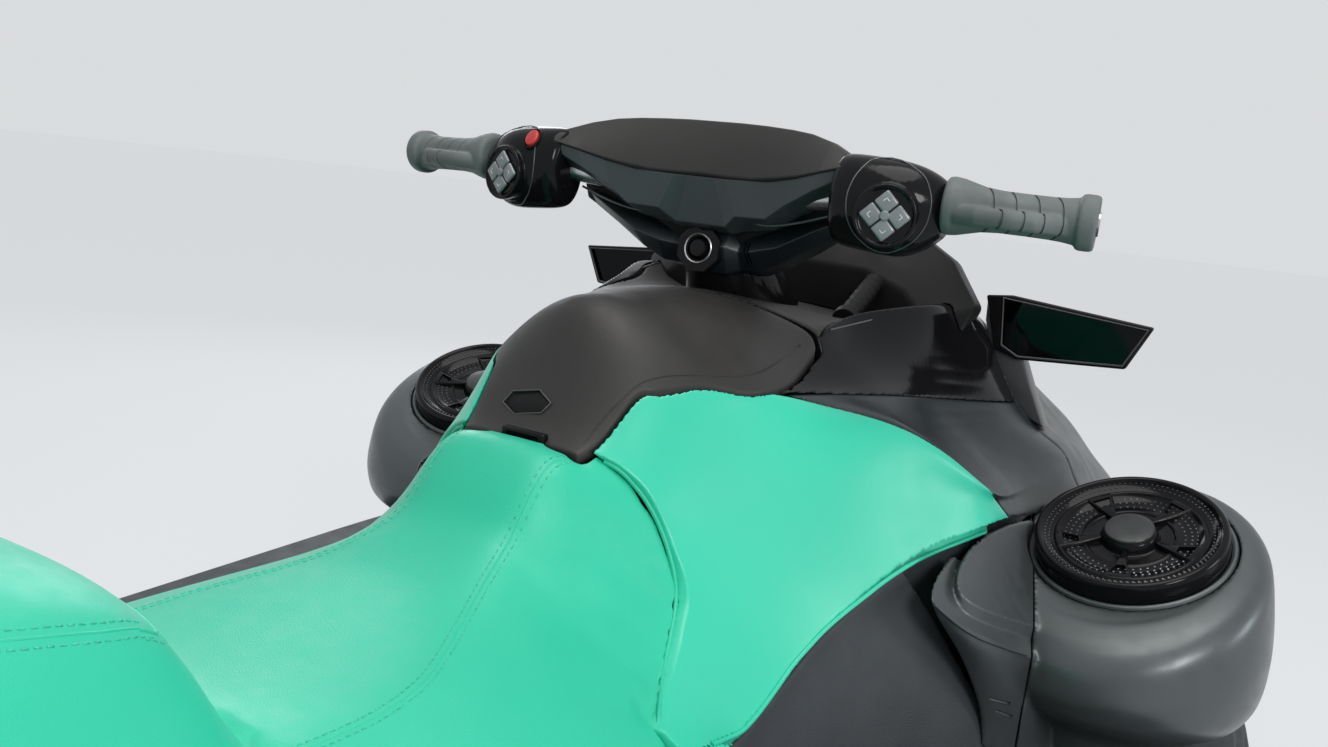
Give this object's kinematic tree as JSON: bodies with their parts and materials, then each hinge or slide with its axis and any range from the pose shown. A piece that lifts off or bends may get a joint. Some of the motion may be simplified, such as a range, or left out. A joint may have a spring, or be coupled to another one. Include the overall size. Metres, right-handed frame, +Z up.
{
  "type": "personal watercraft",
  "caption": "Sit-astride personal watercraft with a long stepped seat, raked handlebars, speaker pods beside the knees, mirrors, bow hatch and jet pump.",
  "frame": {"origin": "on the waterline, on the centreline, at half the overall length", "axes": "+Z up, +Y towards the stern, -Y towards the bow, +X to port"},
  "size_m": [1.25, 3.3164, 1.095],
  "materials": {
    "black_gloss": "gloss black",
    "bumper_rubber": "matt black rubber",
    "charcoal_satin": "satin charcoal",
    "deck_grey": "satin dark grey",
    "engine_block": "plain block",
    "gelcoat_dark": "gloss dark gelcoat",
    "grip_rubber": "matt grey rubber",
    "mat_foam": "ribbed foam matting",
    "mint_gloss": "gloss mint",
    "mint_vinyl": "soft mint vinyl with a fine grain",
    "mirror_dark": "dark mirror glass",
    "pump_alloy": "cast alloy",
    "silver_satin": "satin silver-grey",
    "slate_satin": "satin dark slate",
    "steel": "stainless steel"
  },
  "bodies": {
    "hull": {"hull_bottom": "gelcoat_dark", "deck": "deck_grey", "ride_plate": "pump_alloy", "intake_grate": "pump_alloy", "pump_housing": "pump_alloy", "engine_block": "engine_block", "bow_cowl": "slate_satin", "dash": "charcoal_satin", "glovebox_bin": "deck_grey", "storage_bin": "deck_grey", "seat_front": "mint_vinyl", "seat_rear": "mint_vinyl", "seat_base": "deck_grey", "column_cowl": "black_gloss", "gauge_pod": "charcoal_satin", "grab_handle": "deck_grey", "platform_mat": "mat_foam", "fuel_cap": "deck_grey", "bow_eye": "steel", "bumper_port": "bumper_rubber", "bumper_starboard": "bumper_rubber", "sponson_port": "deck_grey", "sponson_starboard": "deck_grey", "side_panel_port": "mint_gloss", "side_panel_starboard": "mint_gloss", "flank_band_port": "slate_satin", "flank_band_starboard": "slate_satin", "flank_wall_port": "black_gloss", "flank_wall_starboard": "black_gloss", "knee_panel_port": "deck_grey", "knee_panel_starboard": "deck_grey", "knee_recess_port": "deck_grey", "knee_recess_starboard": "deck_grey", "seat_skirt_port": "mint_gloss", "seat_skirt_starboard": "mint_gloss", "speaker_housing_port": "silver_satin", "speaker_housing_starboard": "silver_satin", "speaker_port": "black_gloss", "speaker_starboard": "black_gloss", "mirror_port": "black_gloss", "mirror_starboard": "black_gloss", "mirror_glass_port": "mirror_dark", "mirror_glass_starboard": "mirror_dark", "footwell_mat_port": "mat_foam", "footwell_mat_starboard": "mat_foam"},
    "steering": {"handlebar": "steel", "steering_pad": "charcoal_satin", "steering_cowl": "black_gloss", "switch_pod_port": "black_gloss", "switch_pod_starboard": "black_gloss", "grip_port": "grip_rubber", "grip_starboard": "grip_rubber", "lever_port": "slate_satin", "lever_starboard": "slate_satin"},
    "nozzle": {"steering_nozzle": "pump_alloy"},
    "bucket": {"reverse_bucket": "deck_grey"},
    "rotor": {"impeller": "steel"},
    "glovebox_cover": {"glovebox_lid": "charcoal_satin"},
    "bow_hatch": {"front_lid": "mint_gloss"}
  },
  "joints": [
    {"name": "steering_turn", "type": "hinge", "parent": "hull", "child": "steering", "pos_m": [0, -0.3, 0.66], "axis": [0, 0.6293, 0.7771], "range_deg": [-22, 22]},
    {"name": "nozzle_swing", "type": "hinge", "parent": "hull", "child": "nozzle", "pos_m": [0, 1.482, -0.128], "axis": [0, 0, 1], "range_deg": [-22, 22]},
    {"name": "bucket_drop", "type": "hinge", "parent": "hull", "child": "bucket", "pos_m": [0, 1.5, -0.128], "axis": [1, 0, 0], "range_deg": [-70, 0]},
    {"name": "impeller_spin", "type": "hinge", "parent": "hull", "child": "rotor", "pos_m": [0, 1.245, -0.128], "axis": [0, 1, 0], "continuous": true},
    {"name": "glovebox_open", "type": "hinge", "parent": "hull", "child": "glovebox_cover", "pos_m": [0, -0.204, 0.64897], "axis": [1, 0, 0], "range_deg": [0, 35]},
    {"name": "hatch_open", "type": "hinge", "parent": "hull", "child": "bow_hatch", "pos_m": [0, -1.309, 0.43527], "axis": [1, 0, 0], "range_deg": [0, 50]}
  ],
  "couplings": [
    {"joint": "nozzle_swing", "follows": "steering_turn", "ratio": -1}
  ]
}
